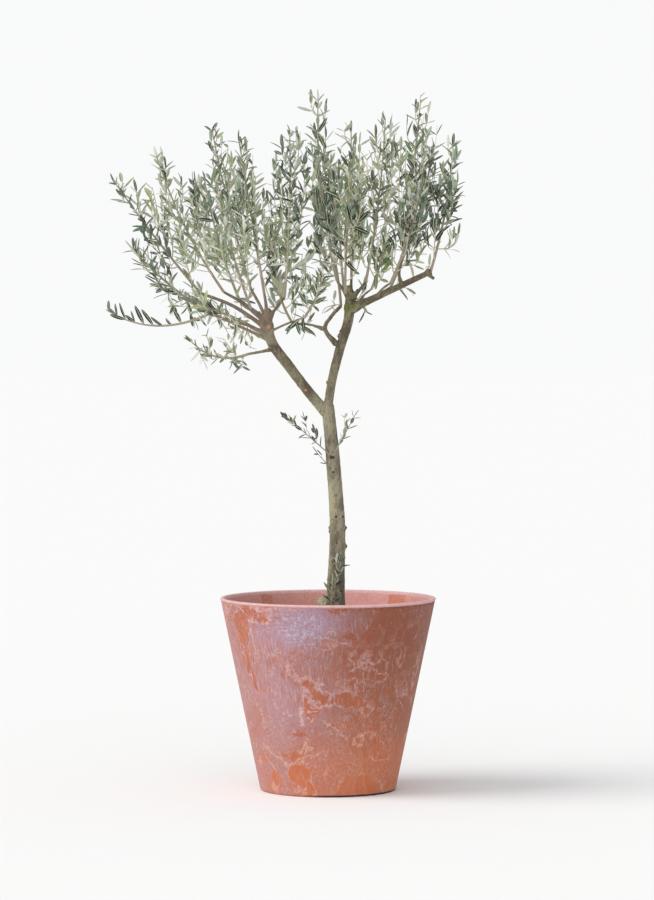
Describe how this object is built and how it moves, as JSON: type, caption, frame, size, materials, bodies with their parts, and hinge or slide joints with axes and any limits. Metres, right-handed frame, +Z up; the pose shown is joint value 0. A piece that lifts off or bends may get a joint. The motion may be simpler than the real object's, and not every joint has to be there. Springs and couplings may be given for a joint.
{
  "type": "potted olive tree",
  "caption": "Young olive tree with a forked trunk, pruned boughs and an open crown of narrow grey-green leaves, growing in a tapered terracotta-coloured pot.",
  "frame": {"origin": "centre of the pot's flat underside, where the plant stands on the floor", "axes": "+Z up, -Y towards the front view, +X to the right in the front view"},
  "size_m": [0.7411, 0.5032, 1.3968],
  "materials": {
    "terracotta": "satin",
    "compost": "matte",
    "bark": "matte",
    "leaf": "satin"
  },
  "bodies": {
    "root": {"pot": "terracotta", "soil": "compost", "trunk": "bark", "left_bough": "bark", "right_bough": "bark", "right_limb": "bark", "right_riser": "bark", "right_spur_front": "bark", "right_spur_back": "bark", "right_spur_low": "bark", "left_limb_upper": "bark", "left_limb_inner": "bark", "left_limb_outer": "bark", "left_limb_low": "bark", "left_limb_trail": "bark", "left_spur_front": "bark", "left_spur_back": "bark", "left_limb_back": "bark", "left_limb_front": "bark", "left_shoot_tall": "bark", "left_shoot_middle": "bark", "left_shoot_right": "bark", "left_shoot_cross": "bark", "inner_limb": "bark", "inner_limb_left": "bark", "right_shoot_tall": "bark", "right_shoot_middle": "bark", "right_shoot_right": "bark", "right_limb_front": "bark", "right_limb_back": "bark", "far_left_spray": "leaf", "low_left_spray": "leaf", "left_apron": "leaf", "left_apron_back": "leaf", "left_edge": "leaf", "left_wing": "leaf", "left_front": "leaf", "left_crest": "leaf", "left_hollow": "leaf", "middle_front": "leaf", "middle_spire": "leaf", "right_hollow": "leaf", "right_front": "leaf", "right_crest": "leaf", "right_edge": "leaf", "right_low_front": "leaf", "right_apron": "leaf", "right_low_back": "leaf", "low_middle_front": "leaf", "low_middle_back": "leaf", "heart": "leaf", "front_left": "leaf", "front_right": "leaf", "back_left": "leaf", "back_right": "leaf", "sprout_left": "leaf", "sprout_right": "leaf", "sprout_low": "leaf", "sprout_foot": "leaf"}
  },
  "joints": []
}
